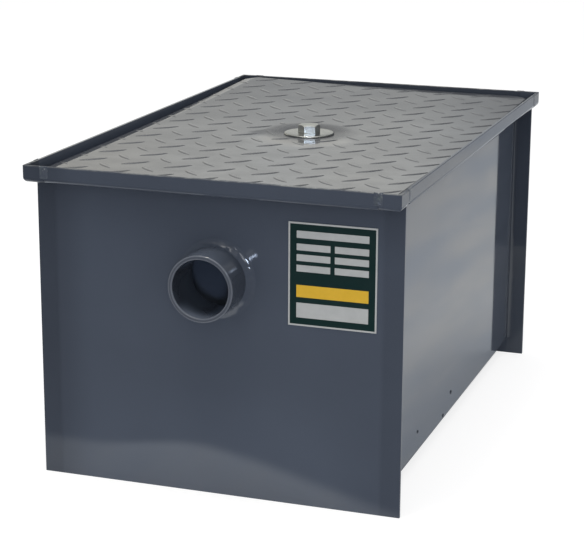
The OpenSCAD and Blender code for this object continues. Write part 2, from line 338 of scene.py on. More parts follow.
def enamel_gloss(tree, place, axes, rough, rubbed_with_glints, hub):
    """Roughness in smudges, with more on the top edge of the rim where asked and round the middle of a lid.
    """
    smudge = noise_at(tree, place, 38.0, 4.0, 0.6)
    gloss = ramp(tree, smudge, 0.3, 0.75, rough * 0.8, rough * 1.5)
    if rubbed_with_glints:
        high = ramp(tree, axes["Z"], below_top(1.5), below_top(0.4), 0.0, 0.45)
        gloss = math_node(tree, "ADD", gloss, high)
    if hub:
        flat = add_node(tree, "ShaderNodeVectorMath", {0: place, 1: (1, 1, 0)}, operation="MULTIPLY")
        out = add_node(tree, "ShaderNodeVectorMath", {0: flat.outputs[0]}, operation="LENGTH")
        gloss = math_node(tree, "ADD", gloss, ramp(tree, out.outputs["Value"], 0.030, 0.055, hub, 0.0))
    return gloss


def enamel_shape(tree, place, axes, ridges, peel):
    """The sheet's slow waves and orange peel, and the ridges where the walls show through a plate."""
    shape = bump(tree, noise_at(tree, place, 9.0, 1.0), WAVE_H)
    shape = bump(tree, noise_at(tree, place, 420.0, 1.0), peel, shape)
    if ridges:
        side = math_node(tree, "ABSOLUTE", axes["X"])
        off = math_node(tree, "ABSOLUTE", math_node(tree, "SUBTRACT", side, TANK_X * MM))
        shape = bump(tree, ramp(tree, off, 0.0, RIDGE_W * MM, 1.0, 0.0), RIDGE_H, shape)
    return shape


def enamel(
    name, level, rough=0.05, hue=1.0, streaks=0.0, painted_shading=None, ridges=False, worn_with_glints=0.0, rubbed_with_glints=False, hub=0.0,
    peel=PEEL_H,
):
    """Glossy blue-grey enamel. Its arguments add streaks that shade it along Y, painted light and shade by
    place, ridges where the walls show through a plate, scuffs with pale specks that are part wear and part
    painted glints, a rougher top edge of the rim with pale patches that are part wear and part painted
    glints, and a duller middle on a lid."""
    material, tree, shader, place = new_material(name)
    axes = axes_of(tree, place)
    shader.inputs["IOR"].default_value = ENAMEL_IOR
    colour = enamel_colour(tree, place, level, hue)
    if streaks:
        colour = streaked(tree, place, colour, streaks)
    if painted_shading:
        colour = add_painted_shading(tree, axes, colour, painted_shading)
    if rubbed_with_glints:
        colour = rubbed_top_and_glints(tree, place, axes, colour)
    if worn_with_glints:
        colour = scuffs_and_glints(tree, place, axes, colour, worn_with_glints)
    gloss = enamel_gloss(tree, place, axes, rough, rubbed_with_glints, hub)
    set_surface(tree, shader, colour, gloss, enamel_shape(tree, place, axes, ridges, peel))
    return material


# Zinc, rubber and print
def zinc(name, rough, level):
    """Zinc plating with a fine brushed grain and a few dull clouds."""
    material, tree, shader, place = new_material(name)
    shader.inputs["Metallic"].default_value = 1.0
    cloud = noise_at(tree, place, 160.0, 3.0)
    grain = noise_at(tree, place, 900.0, 3.0, 0.6)
    colour = mix_colour(tree, cloud, zinc_grey(level * 0.88), zinc_grey(level * 1.14))
    gloss = ramp(tree, grain, 0.3, 0.7, rough * 0.8, rough * 1.2)
    set_surface(tree, shader, colour, gloss, bump(tree, grain, 0.0000015))
    return material


def rubber(name):
    """Dull black rubber with a fine pebbled skin and a little dust."""
    material, tree, shader, place = new_material(name)
    dust = noise_at(tree, place, 70.0, 4.0, 0.6)
    colour = mix_colour(tree, dust, (0.010, 0.010, 0.011, 1), (0.030, 0.030, 0.031, 1))
    skin = bump(tree, noise_at(tree, place, 1500.0, 2.0), 0.00004)
    set_surface(tree, shader, colour, ramp(tree, dust, 0.2, 0.8, 0.55, 0.8), skin)
    return material


def print_ink(name, colour):
    """A printed field on foil: slightly cloudy ink with tiny pores."""
    material, tree, shader, place = new_material(name)
    faint = tuple(c * 0.86 for c in colour) + (1.0,)
    full = tuple(min(1.0, c * 1.06) for c in colour) + (1.0,)
    cloud = noise_at(tree, place, 130.0, 4.0, 0.6)
    ink = mix_colour(tree, cloud, faint, full)
    pores = bump(tree, noise_at(tree, place, 900.0, 2.0), 0.00001)
    set_surface(tree, shader, ink, ramp(tree, cloud, 0.2, 0.8, 0.28, 0.42), pores)
    return material


BODY_LEVEL = 0.085

corner_paint = enamel("corner_enamel", BODY_LEVEL, painted_shading=corner_painted_shade, rubbed_with_glints=True)
plate_paint = enamel("plate_enamel", BODY_LEVEL, painted_shading=plate_painted_shading, ridges=True, rubbed_with_glints=True)
wall_paint = enamel("wall_enamel", BODY_LEVEL, streaks=0.25, peel=SMOOTH_PEEL_H)
# A paler copy of the enamel: painted light for the dim inside of the tank
inside_paint = enamel("inside_enamel", BODY_LEVEL * 2.6, rough=0.15)
pipe_paints = [
    enamel("barrel_enamel", BODY_LEVEL, painted_shading=barrel_painted_shading),
    # The mouth's rounded edges: a paler copy of the enamel, as a painted highlight
    enamel("pipe_edge_enamel", BODY_LEVEL * 1.6, rough=0.06, hue=0.6),
    enamel("pipe_end_enamel", BODY_LEVEL, hue=0.7),
    enamel("bore_enamel", BODY_LEVEL, painted_shading=bore_painted_shading),
]
BARREL, PIPE_EDGE, PIPE_END, BORE = range(4)
lid_paint = enamel("lid_enamel", BODY_LEVEL, rough=0.085, hue=0.35, hub=0.2)
weld_paint = enamel("weld_enamel", BODY_LEVEL, rough=0.11)
# Darker copy of the enamel for the upright fillets and spatter: painted shade against the light the fillets
# catch
seam_paint = enamel("seam_enamel", BODY_LEVEL * 0.55, rough=0.11)
scar_paint = enamel("scar_enamel", BODY_LEVEL * 0.90, rough=0.25, worn_with_glints=0.5)
bright_zinc = zinc("bright_zinc", 0.225, 0.51)
dull_zinc = zinc("dull_zinc", 0.33, 0.64)
black_rubber = rubber("black_rubber")
label_inks = [
    print_ink("label_green", (0.003, 0.025, 0.023)),
    print_ink("label_white", (0.43, 0.44, 0.43)),
    print_ink("label_amber", (0.70, 0.42, 0.02)),
]
GREEN, WHITE, AMBER = range(3)


# Mesh helpers
LATHE_STEPS = 96


def add_piece(name, verts, faces, materials, body, replaced, sharp, face_inks=None):
    """A new piece from millimetre coordinates, smooth but for edges sharper than the limit."""
    mesh = bpy.data.meshes.new(name)
    mesh.from_pydata([Vector(v) * MM for v in verts], [], faces)
    for material in materials:
        mesh.materials.append(material)
    if face_inks:
        mesh.polygons.foreach_set("material_index", face_inks)
    work = bmesh.new()
    work.from_mesh(mesh)
    bmesh.ops.recalc_face_normals(work, faces=work.faces)
    work.to_mesh(mesh)
    work.free()
    mesh.shade_smooth()
    mesh.set_sharp_from_angle(angle=math.radians(sharp))
    piece = bpy.data.objects.new(name, mesh)
    scene.collection.objects.link(piece)
    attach(piece, body)
    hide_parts(*replaced)
    return piece


def grid(rows, wrap_rows=False, wrap_cols=False):
    """Vertices and quads of a grid of points, closed along either way where asked."""
    high, wide = len(rows), len(rows[0])
    verts = [p for row in rows for p in row]
    faces = []
    for i in range(high if wrap_rows else high - 1):
        for j in range(wide if wrap_cols else wide - 1):
            a, b = i * wide, ((i + 1) % high) * wide
            k = (j + 1) % wide
            faces.append((a + j, a + k, b + k, b + j))
    return verts, faces


def grid_border(wide, high):
    """Indices round the outside of a grid."""
    border = list(range(wide)) + [(i + 1) * wide - 1 for i in range(1, high)]
    border += [(high - 1) * wide + k for k in range(wide - 2, -1, -1)]
    return border + [i * wide for i in range(high - 2, 0, -1)]


def skirt(border, count):
    """Quads that join a border to its copy, whose vertices come so many places later."""
    return [(a, b, count + b, count + a) for a, b in zip(border, border[1:] + border[:1])]


def circle(r, steps):
    """Points of a circle round the origin."""
    angles = [2 * math.pi * i / steps for i in range(steps)]
    return [(r * math.cos(a), r * math.sin(a)) for a in angles]


def lathe(profile):
    """A closed ring round Z from a closed profile of (radius, height)."""
    rows = [[(x, y, h) for x, y in circle(r, LATHE_STEPS)] for r, h in profile]
    return grid(rows, wrap_rows=True, wrap_cols=True)


def place_all(verts, matrix):
    """All points moved by a matrix."""
    return [tuple(matrix @ Vector(v)) for v in verts]


def merge(parts):
    """Several (verts, faces) as one."""
    verts, faces = [], []
    for more_verts, more_faces in parts:
        base = len(verts)
        verts.extend(more_verts)
        faces.extend(tuple(base + i for i in f) for f in more_faces)
    return verts, faces


def smooth(value):
    """Smooth step from 0 to 1."""
    value = max(0.0, min(1.0, value))
    return value * value * (3 - 2 * value)


def lumps(x, y, z, size):
    """Smooth noise from -1 to 1, with lumps of about the given size in millimetres."""
    return noise.noise(Vector((x, y, z)) / size)


# The lid's lugs
LUG_SKEW = -0.0051
LUG_ARC_R = (LUG_L ** 2 + LUG_W ** 2) / (4 * LUG_W)
LUG_ARC_OFF = LUG_ARC_R - LUG_W / 2
# Height of the lugs either way, as shares of LUG_H
LUG_RISE = 0.80
CROSS_LUG_RISE = 0.38
# Inset and points per side of the loops in a lug's mesh
LUG_LOOPS = ((-0.15, 9), (0.1, 9), (0.5, 9), (1.0, 8), (1.6, 8), (2.3, 6))


def lug_centres():
    """Centre and direction of every lug that reaches onto the lid. The plate was cut slightly askew."""
    found = []
    for turned in (0, 1):
        for i in range(-7, 8):
            for j in range(-9, 10):
                across, along = i + turned / 2, j + turned / 2
                x = LUG_AT[0] + (across - LUG_SKEW * along) * LUG_PITCH
                y = LUG_AT[1] + (along + LUG_SKEW * across) * LUG_PITCH
                if abs(x) < LID_X + LUG_L / 2 and abs(y) < LID_Y + LUG_L / 2:
                    found.append((x, y, math.radians(-45 if turned else 45)))
    return found


def lug_loop(lug, inset, steps):
    """A lens-shaped loop, inset from the lug's outline."""
    x, y, turn = lug
    r = LUG_ARC_R - inset
    half = math.acos(min(1.0, LUG_ARC_OFF / r))
    cos, sin = math.cos(turn), math.sin(turn)
    loop = []
    for sign in (1, -1):
        for i in range(steps):
            a = half * (1 - 2 * i / steps)
            u, v = sign * r * math.sin(a), sign * (r * math.cos(a) - LUG_ARC_OFF)
            loop.append((x + u * cos - v * sin, y + u * sin + v * cos))
    return loop


def lug_rise(lug, px, py):
    """Height of one lug over the plate at a point: a ridge that rounds over and runs out at its tips."""
    x, y, turn = lug
    dx, dy = px - x, py - y
    u = dx * math.cos(turn) + dy * math.sin(turn)
    v = dy * math.cos(turn) - dx * math.sin(turn)
    if abs(u) >= LUG_L / 2:
        return 0.0
    half = math.sqrt(LUG_ARC_R ** 2 - u * u) - LUG_ARC_OFF
    if abs(v) >= half:
        return 0.0
    height = LUG_H * (LUG_RISE if turn > 0 else CROSS_LUG_RISE)
    return height * (half / (LUG_W / 2)) ** 0.35 * (1 - (v / half) ** 4)


def close_lugs(lugs, px, py):
    """The lugs that can reach a point."""
    return [lug for lug in lugs if abs(lug[0] - px) < LUG_L and abs(lug[1] - py) < LUG_L]


# The lid's plate
EDGE_W = 0.5
EDGE_EASE = 0.4
HOLE_EASE = 0.3
# Points closer than this to the outline, or to the hole, lie on it
ON_EDGE = 0.2
ON_HOLE = 0.3
# Share of an inset by which the legs of the clipped corners shrink
CLIP_SHRINK = 0.41
HOLE_STEPS = 32
# Bow of the plate: sag of its middle, tilt and curve along X and Y, and twist
BOW_SAG = -0.85
BOW_TILT = (-0.98, 1.49)
BOW_CURVE = (1.31, 2.18)
BOW_TWIST = -1.17
# Left edge: where it starts to roll down, and how
ROLL_X = 155.0
ROLL_SLOPE = 0.12
ROLL_EASE = 1.5
ROLL_ROWS = 5
ROLL_PITCH = 2.0
ROLL_HALF_L = 250.0
ROLL_STEPS = 50
# Dish: its reach behind and in front, and the seat's rise outside the seal
DISH_FAR_R = 44.0
DISH_NEAR_R = 84.0
SEAT_RISE = 0.9
SEAT_R = SEAL_R + 0.4
SEAT_W = 2.4
DISH_STEPS = 72
DISH_RINGS = (
    22.0, 23.2, 24.2, 25.2, 26.2, 28.0, 30.0, 32.0, 34.0,
    37.0, 40.0, 43.0, 46.0, 49.0, 55.0, 63.0, 72.0, 82.0,
)
# Lugs: pressed flat out to here in front, farther behind, rising over a width, fading at the edge
PRESSED_R = DISH_R - 6
PRESSED_BACK = 8
PRESSED_W = 6.0
EDGE_FADE = 1.2
# Lugs centred within the first radius, and points of the others within the second, aren't in the mesh
LUG_FREE_R = DISH_R - 12
LUG_POINT_R = DISH_R - 4


def lid_edge(inset):
    """The lid's outline with its clipped corners, inset all round."""
    x, y, c = LID_X - inset, LID_Y - inset, LID_CLIP - CLIP_SHRINK * inset
    return [
        (c - x, -y), (x - c, -y), (x, c - y), (x, y - c), (x - c, y), (c - x, y), (-x, y - c), (-x, c - y),
    ]


def edge_room(px, py):
    """Distance from a point in to the lid's edge."""
    corner = (LID_X + LID_Y - LID_CLIP - abs(px) - abs(py)) / math.sqrt(2)
    return min(LID_X - abs(px), LID_Y - abs(py), corner)


def lid_bow(px, py):
    """Rise of the plate over its flat shape: warped by the bolt's pull, its left edge rolled down."""
    x, y = px / LID_X, py / LID_Y
    over = max(0.0, -px - ROLL_X)
    tilt = BOW_TILT[0] * x + BOW_TILT[1] * y
    curve = BOW_CURVE[0] * x * x + BOW_TWIST * x * y + BOW_CURVE[1] * y * y
    return BOW_SAG + tilt + curve - ROLL_SLOPE * over * over / (over + ROLL_EASE)


def plate_height(px, py):
    """Top of the plate without lugs, bowed and dished for the washer, wider on the near side."""
    r = math.hypot(px, py)
    near = smooth(0.05 - py / max(r, 1.0))
    reach = DISH_FAR_R + (DISH_NEAR_R - DISH_FAR_R) * near
    sunk = max(0.0, min(1.0, (reach - r) / (reach - WASHER_R))) ** 2
    seat = SEAT_RISE * smooth((r - SEAT_R) / SEAT_W) - DISH_D
    return LID_TOP + lid_bow(px, py) * (1 - sunk) + seat * sunk


def lid_top(px, py, close):
    """Top of the lid: the plate and its lugs, which are pressed flat round the dish, farther out behind."""
    r = math.hypot(px, py)
    room = edge_room(px, py)
    pressed = PRESSED_R + PRESSED_BACK * smooth(0.5 + py / max(r, 1.0))
    rise = max(lug_rise(lug, px, py) for lug in close)
    rise *= smooth((r - pressed) / PRESSED_W) * smooth(room / EDGE_FADE)
    eased = 0.0
    if room < ON_EDGE:
        eased = EDGE_EASE
    elif r < LID_HOLE_R + ON_HOLE:
        eased = HOLE_EASE
    return plate_height(px, py) + rise - eased


def lid_points(lugs):
    """Points and edges that the lid's mesh has to follow."""
    points, edges = [], []

    def add_line(line, closed=True):
        base, count = len(points), len(line)
        points.extend(line)
        edges.extend((base + i, base + (i + 1) % count) for i in range(count if closed else count - 1))

    add_line(lid_edge(0.0))
    add_line(lid_edge(EDGE_W))
    for row in reversed(range(ROLL_ROWS)):
        x = -ROLL_X - ROLL_PITCH * row
        ys = [2 * ROLL_HALF_L * k / ROLL_STEPS - ROLL_HALF_L for k in range(ROLL_STEPS + 1)]
        add_line([(x, y) for y in ys], closed=False)
    for r in (LID_HOLE_R, LID_HOLE_R + EDGE_W):
        add_line(circle(r, HOLE_STEPS))
    for r in DISH_RINGS:
        add_line(circle(r, DISH_STEPS))
    for lug in lugs:
        if math.hypot(lug[0], lug[1]) < LUG_FREE_R:
            continue
        for inset, steps in LUG_LOOPS:
            add_line([p for p in lug_loop(lug, inset, steps) if math.hypot(*p) > LUG_POINT_R])
        points.append((lug[0], lug[1]))
    return points, edges


def drop_loose(mesh):
    """Deletes vertices that belong to no face."""
    work = bmesh.new()
    work.from_mesh(mesh)
    bmesh.ops.delete(work, geom=[v for v in work.verts if not v.link_faces], context="VERTS")
    work.to_mesh(mesh)
    work.free()


def slope_normal(height, px, py, *more):
    """Unit normal of a height over the plane, from its slopes."""
    step = 0.02
    dx = (height(px + step, py, *more) - height(px - step, py, *more)) / (2 * step)
    dy = (height(px, py + step, *more) - height(px, py - step, *more)) / (2 * step)
    return Vector((-dx, -dy, 1)).normalized()


def set_lid_normals(mesh, lugs):
    """Shades the lid by its true slopes, with its narrow sides flat."""
    upper, lower = [], []
    for vert in mesh.vertices:
        px, py = vert.co.x / MM, vert.co.y / MM
        if edge_room(px, py) < ON_EDGE:
            upper.append((slope_normal(edge_room, px, py) + Vector((0, 0, 0.2))).normalized())
        else:
            upper.append(slope_normal(lid_top, px, py, close_lugs(lugs, px, py)))
        lower.append(-slope_normal(plate_height, px, py))
    normals = []
    for face in mesh.polygons:
        for index in face.vertices:
            if face.normal.z > 0.3:
                normals.append(upper[index])
            elif face.normal.z < -0.3:
                normals.append(lower[index])
            else:
                normals.append(face.normal.copy())
    mesh.normals_split_custom_set(normals)


def build_lid():
    """Tread plate with steep-sided lugs, bowed, dished round the washer and eased along its edge."""
    lugs = lug_centres()
    points, edges = lid_points(lugs)
    flat, _, faces, *_ = delaunay_2d_cdt([Vector(p) for p in points], edges, [], 0, 1e-4)
    verts = [(p.x, p.y, lid_top(p.x, p.y, close_lugs(lugs, p.x, p.y))) for p in flat]
    verts += [(p.x, p.y, plate_height(p.x, p.y) - LID_T) for p in flat]
    count = len(flat)
    kept, used = [], {}
    for face in faces:
        cx = sum(flat[i].x for i in face) / len(face)
        cy = sum(flat[i].y for i in face) / len(face)
        if edge_room(cx, cy) > 0 and math.hypot(cx, cy) > LID_HOLE_R * 0.995:
            kept.append(tuple(face))
            for a, b in zip(face, face[1:] + face[:1]):
                used[a, b] = True
    under = [tuple(count + i for i in reversed(face)) for face in kept]
    sides = [(b, a, count + a, count + b) for a, b in used if (b, a) not in used]
    piece = add_piece(
        "tread_lid", verts, kept + under + sides, [lid_paint], "lid", ["lid"], sharp=62.0
    )
    drop_loose(piece.data)
    set_lid_normals(piece.data, lugs)


build_lid()


# Bolt, washer, seal and nut
HEX_TURN = math.radians(21.0)
HEX_STEPS = 96
HEX_ROUND = 0.955
HEX_CONE = math.tan(math.radians(30))
HEX_EASE = 0.25
CROWN_SHARE = 0.86
THREAD_DEPTH = 1.05
THREAD_STEPS = 36
THREAD_ROWS = 6
# Lengths over which the thread runs out at the bolt's end and under its head, and the end's taper
RUN_OUT_END = 2.5
RUN_OUT_HEAD = 1.5
TAPER_L = 1.5
TAPER_D = 0.5
# Rise along a flank of the thread per pitch, and what the flat root takes off it
FLANK = 2.6
ROOT = 0.12
SHANK_SINK = 0.3
NUT_EASE = 0.6


def hex_radius(angle, af):
    """Distance from the middle to the side of a hexagon with a corner at angle zero."""
    part = (angle + math.pi / 6) % (math.pi / 3) - math.pi / 6
    return af / 2 / math.cos(math.pi / 6 - abs(part))


def hex_rows(af, low, high, ease_low):
    """Rings of a hexagon whose upper end, and lower where asked, is turned down to a circle by a cone."""
    circle_r = af / 2 * HEX_ROUND
    angles = [2 * math.pi * i / HEX_STEPS for i in range(HEX_STEPS)]

    def ring(radius_at, height_at):
        return [
            (radius_at(a) * math.cos(a + HEX_TURN), radius_at(a) * math.sin(a + HEX_TURN), height_at(a))
            for a in angles
        ]

    def full(a):
        return hex_radius(a, af)

    rows = []
    if ease_low:
        rows.append(ring(lambda a: circle_r, lambda a: low))
        rows.append(ring(full, lambda a: low + (full(a) - circle_r) * HEX_CONE))
    else:
        rows.append(ring(lambda a: full(a) - HEX_EASE, lambda a: low))
        rows.append(ring(full, lambda a: low + HEX_EASE))
    rows.append(ring(full, lambda a: high - (full(a) - circle_r) * HEX_CONE))
    rows.append(ring(lambda a: circle_r, lambda a: high))
    return rows


def thread_rows(radius, low, high):
    """Rings of a screw thread, its ends run out to the core."""
    rows = []
    count = int((high - low) / THREAD_PITCH * THREAD_ROWS)
    for k in range(count + 1):
        z = low + (high - low) * k / count
        fade = smooth((z - low) / RUN_OUT_END) * smooth((high - z) / RUN_OUT_HEAD)
        taper = TAPER_D * (1 - smooth((z - low) / TAPER_L))
        row = []
        for i in range(THREAD_STEPS):
            a = 2 * math.pi * i / THREAD_STEPS
            phase = (z / THREAD_PITCH - a / (2 * math.pi)) % 1.0
            crest = max(0.0, min(1.0, FLANK * (0.5 - abs(phase - 0.5)) - ROOT))
            r = radius - THREAD_DEPTH + THREAD_DEPTH * crest * fade - taper
            row.append((r * math.cos(a), r * math.sin(a), z))
        rows.append(row)
    return rows


def disc(row, height):
    """One flat face that closes a ring."""
    return [(x, y, height) for x, y, _ in row], [tuple(range(len(row)))]


def build_bolt():
    """Hex bolt with a flat crown on its head and a threaded shank."""
    head = hex_rows(HEAD_AF, HEAD_Z, HEAD_Z + HEAD_H, ease_low=False)
    shank = thread_rows(BOLT_R, HEAD_Z - BOLT_L, HEAD_Z + SHANK_SINK)
    crown = [(x * CROWN_SHARE, y * CROWN_SHARE, HEAD_Z + HEAD_H) for x, y, _ in head[-1]]
    parts = [
        grid(head + [crown], wrap_cols=True),
        disc(crown, HEAD_Z + HEAD_H),
        disc(head[0], HEAD_Z),
        grid(shank, wrap_cols=True),
        disc(shank[0], HEAD_Z - BOLT_L),
        disc(shank[-1], HEAD_Z + SHANK_SINK),
    ]
    verts, faces = merge(parts)
    add_piece("hex_bolt", verts, faces, [dull_zinc], "bolt", ["lid_bolt"], sharp=28.0)


def build_nut():
    """Hex nut with an eased hole."""
    low, high = NUT_Z, NUT_Z + NUT_H
    rows = hex_rows(NUT_AF, low, high, ease_low=True)

    def hole(r, z):
        angles = [2 * math.pi * i / HEX_STEPS + HEX_TURN for i in range(HEX_STEPS)]
        return [(r * math.cos(a), r * math.sin(a), z) for a in angles]

    rows.append(hole(NUT_HOLE_R + NUT_EASE, high))
    rows.append(hole(NUT_HOLE_R, high - NUT_EASE))
    rows.append(hole(NUT_HOLE_R, low + NUT_EASE))
    rows.append(hole(NUT_HOLE_R + NUT_EASE, low))
    verts, faces = grid(rows, wrap_rows=True, wrap_cols=True)
    add_piece("hex_nut", verts, faces, [bright_zinc], "tank", ["hold_down_nut"], sharp=28.0)


def build_washer():
    """Punched washer: rolled over along its top edge, eased below and round its hole."""
    low, high = WASHER_Z, WASHER_Z + WASHER_T
    profile = [
        (WASHER_HOLE_R, low + 0.2), (WASHER_HOLE_R, high - 0.35), (WASHER_HOLE_R + 0.35, high),
        (16.0, high), (WASHER_R - 1.2, high), (WASHER_R - 0.45, high - 0.12), (WASHER_R - 0.1, high - 0.5),
        (WASHER_R, high - 0.9), (WASHER_R, low + 0.25), (WASHER_R - 0.2, low), (WASHER_HOLE_R + 0.2, low),
    ]
    verts, faces = lathe(profile)
    add_piece("wide_washer", verts, faces, [bright_zinc], "washer", ["lid_washer"], sharp=40.0)


def build_seal():
    """Rubber ring that bulges a little from under the washer."""
    low, high = SEAL_Z, WASHER_Z
    rim = SEAL_R - 0.5
    profile = [
        (SEAL_HOLE_R, low + 0.2), (SEAL_HOLE_R, high - 0.2), (SEAL_HOLE_R + 0.3, high), (rim, high),
    ]
    for i in range(7):
        a = math.pi * (0.5 - i / 6)
        profile.append((rim + 0.9 * math.cos(a), (low + high) / 2 + (high - low) / 2 * math.sin(a)))
    profile += [(rim, low), (SEAL_HOLE_R + 0.3, low)]
    verts, faces = lathe(profile)
    add_piece("rubber_seal", verts, faces, [black_rubber], "washer", ["bolt_seal"], sharp=60.0)


build_bolt()
build_nut()
build_washer()
build_seal()


# Gasket under the lid
GASKET_EASE = 0.9
GASKET_STEPS = 24


def gasket_section():
    """Outline of the strip with rounded edges, as distance out from its middle and height."""
    flat_w, flat_t = GASKET_W / 2 - GASKET_EASE, GASKET_T / 2 - GASKET_EASE
    section = []
    for sx, sz, start in ((1, 1, 0), (-1, 1, 90), (-1, -1, 180), (1, -1, 270)):
        for i in range(5):
            a = math.radians(start + 90 * i / 4)
            out, up = GASKET_EASE * math.cos(a), GASKET_EASE * math.sin(a)
            section.append((sx * flat_w + out, sz * flat_t + up))
    return section


def build_gasket():
    """Rubber strip, mitred at the corners, pressed down where the lid bows onto it."""
    mid_x, mid_y, mid_z = GASKET_X - GASKET_W / 2, GASKET_Y - GASKET_W / 2, GASKET_Z + GASKET_T / 2
    section = gasket_section()
    corners = ((1, 1), (-1, 1), (-1, -1), (1, -1))
    rows = []
    for (ax, ay), (bx, by) in zip(corners, corners[1:] + corners[:1]):
        for k in range(GASKET_STEPS):
            sx, sy = ax + (bx - ax) * k / GASKET_STEPS, ay + (by - ay) * k / GASKET_STEPS
            row = []
            for d, h in section:
                x, y = sx * (mid_x + d), sy * (mid_y + d)
                pressed = min(0.0, lid_bow(x, y)) if h > 0 else 0.0
                row.append((x, y, mid_z + h + pressed))
            rows.append(row)
    verts, faces = grid(rows, wrap_rows=True, wrap_cols=True)
    add_piece("gasket_strip", verts, faces, [black_rubber], "tank", ["lid_gasket"], sharp=60.0)


build_gasket()


# Spigots and their welds
PIPE_STEPS = 120
PIPE_EASE = 1.1
PIPE_EASE_STEPS = 6
WELD_STEPS = 240
WELD_ROWS = 12
WELD_HOLLOW = 0.75
WELD_ROOT_R = TAIL_R + 0.2


def outward(side):
    """Turns local Z to point out of the end plate, with zero on its outer face."""
    turn = Matrix(((1, 0, 0), (0, 0, side), (0, 1, 0)))
    return Matrix.Translation((0, side * END_Y, PIPE_Z)) @ turn.to_4x4()


def build_spigot(name, side, replaced):
    """Plain pipe end with eased edges and the slight unevenness of rolled pipe."""
    ease_h = PIPE_OUT - PIPE_EASE
    turns = [math.pi / 2 * k / PIPE_EASE_STEPS for k in range(1, PIPE_EASE_STEPS + 1)]
    bend = [(PIPE_EASE * (1 - math.cos(a)), ease_h + PIPE_EASE * math.sin(a)) for a in turns]
    barrel = [(TAIL_R, -PIPE_TAIL), (TAIL_R, PIPE_WELD - 0.4), (PIPE_R, PIPE_WELD)]
    barrel += [(PIPE_R, h) for h in (*range(9, 34, 4), ease_h)]
    outer = [(PIPE_R - d, h) for d, h in bend]
    inner = [(BORE_R + d, h) for d, h in reversed(bend)]
    bore = [(BORE_R, h) for h in (ease_h, 28, 20, 10, -PIPE_TAIL)]
    inks = [BARREL] * (len(barrel) - 1) + [PIPE_EDGE] * len(outer) + [PIPE_END]
    inks += [PIPE_EDGE] * len(inner) + [BORE] * (len(bore) - 1) + [BARREL]
    rows = []
    for r, h in barrel + outer + inner + bore:
        row = []
        for x, y in circle(1.0, PIPE_STEPS):
            uneven = 0.03 * lumps(30 * x, 30 * y, h, 14.0) if 8 < h < 36 else 0.0
            row.append(((r + uneven) * x, (r + uneven) * y, h))
        rows.append(row)
    verts, faces = grid(rows, wrap_rows=True, wrap_cols=True)
    verts = place_all(verts, outward(side))
    face_inks = [ink for ink in inks for _ in range(PIPE_STEPS)]
    add_piece(
        name, verts, faces, pipe_paints, "tank", [replaced], sharp=50.0, face_inks=face_inks
    )


def build_pipe_bead(name, side, replaced):
    """Hand-laid fillet, slightly hollow and well flowed, wider on the right, with a few soft lumps."""
    rows = []
    for x, y in circle(1.0, WELD_STEPS):
        foot = PIPE_WELD + 0.4 + 2.2 * smooth(0.5 + 0.5 * x) + 0.5 * lumps(35 * x, 35 * y, 3.0 * side, 15.0)
        climb = PIPE_WELD + 0.2 + 0.4 * lumps(35 * x, 35 * y, 9.0 * side, 12.0)
        row = [(WELD_ROOT_R * x, WELD_ROOT_R * y, 0.0)]
        for k in range(WELD_ROWS + 1):
            t = math.pi / 2 * k / WELD_ROWS
            flat = (1 - WELD_HOLLOW) * k / WELD_ROWS
            r = PIPE_R + foot * (1 - WELD_HOLLOW * math.sin(t) - flat)
            h = climb * (WELD_HOLLOW * (1 - math.cos(t)) + flat)
            swell = math.sin(2 * t) * (0.30 + 0.45 * lumps(r * x, r * y, 5.0 * side + h, 5.0))
            row.append(((r + swell) * x, (r + swell) * y, h + swell))
        row.append((WELD_ROOT_R * x, WELD_ROOT_R * y, climb * 0.98))
        rows.append(row)
    verts, faces = grid(rows, wrap_rows=True, wrap_cols=True)
    verts = place_all(verts, outward(side))
    add_piece(name, verts, faces, [weld_paint], "tank", [replaced], sharp=70.0)


build_spigot("inlet_spigot", -1, "inlet_pipe")
build_spigot("outlet_spigot", 1, "outlet_pipe")
build_pipe_bead("inlet_bead", -1, "inlet_weld")
build_pipe_bead("outlet_bead", 1, "outlet_weld")


# Seam welds
WALL_BEAD_LOW = FLOOR_Z + 4.5
WALL_BEAD_HIGH = LEDGE_Z - 1.5
WALL_BEAD_STEPS = 110
WALL_BEAD_ROWS = 8
RIM_BEAD_LOW = LEDGE_Z + 4.2
RIM_BEAD_HIGH = TOTAL_H + 0.35
RIM_BEAD_STEPS = 26
RIM_BEAD_COLS = 18
RIM_BEAD_HALF_W = 4.2
RIM_BEAD_SINK = 0.6
END_CROWN = 0.8
SIDE_CROWN = 0.3
# Drops of spatter on the right wall: Y, Z and radius
SPATTER = ((-6.5, 35.4, 2.6), (-36.5, 20.7, 2.4), (-132.7, 36.4, 2.3))
# Profile of a drop: share of its radius, and height in shares of DROP_H times the radius
DROP_PROFILE = ((1.0, -0.2), (1.0, 0.05), (0.85, 0.45), (0.6, 0.8), (0.3, 1.0), (0.06, 1.05))
DROP_H = 0.42
DROP_STEPS = 20


def wall_bead(sx, sy):
    """Hollow, smoothly flowed fillet in the upright corner between a side wall and an end plate."""
    rows = []
    for i in range(WALL_BEAD_STEPS + 1):
        z = WALL_BEAD_LOW + (WALL_BEAD_HIGH - WALL_BEAD_LOW) * i / WALL_BEAD_STEPS
        leg = WALL_WELD + 0.4 * lumps(sx * 9, sy * 5, z, 22.0)
        row = [(sx * TANK_X, sy * WALL_Y, z)]
        for k in range(WALL_BEAD_ROWS + 1):
            t = math.pi / 2 * k / WALL_BEAD_ROWS
            swell = 0.12 * math.sin(2 * t) * lumps(sx * 3, k, z, 7.0)
            x = TANK_X + leg * (1 - math.sin(t)) + swell
            y = WALL_Y - leg * (1 - math.cos(t)) - swell
            row.append((sx * x, sy * y, z))
        rows.append(row)
    return grid(rows, wrap_cols=True)


